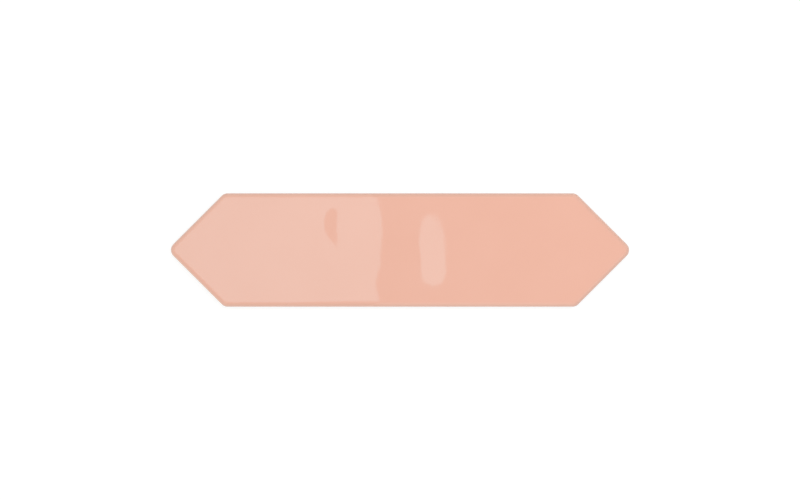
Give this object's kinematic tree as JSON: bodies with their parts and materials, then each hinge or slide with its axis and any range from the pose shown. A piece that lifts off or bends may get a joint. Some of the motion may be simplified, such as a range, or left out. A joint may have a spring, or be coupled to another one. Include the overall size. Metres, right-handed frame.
{
  "type": "picket tile",
  "caption": "Elongated hexagonal ceramic wall tile with pointed ends, a glossy glazed face with rounded edges, and a channelled back for adhesive.",
  "frame": {"origin": "middle of the bed face, which is the tile's back", "axes": "+X along the tile from point to point, +Y across it, +Z out of the glazed face"},
  "size_m": [0.303, 0.075, 0.0085],
  "materials": {
    "glaze": "glossy blush pink glaze, slightly uneven, over a bare off-white fired body on the back and lower sides"
  },
  "bodies": {
    "root": {"tile": "glaze"}
  },
  "joints": []
}
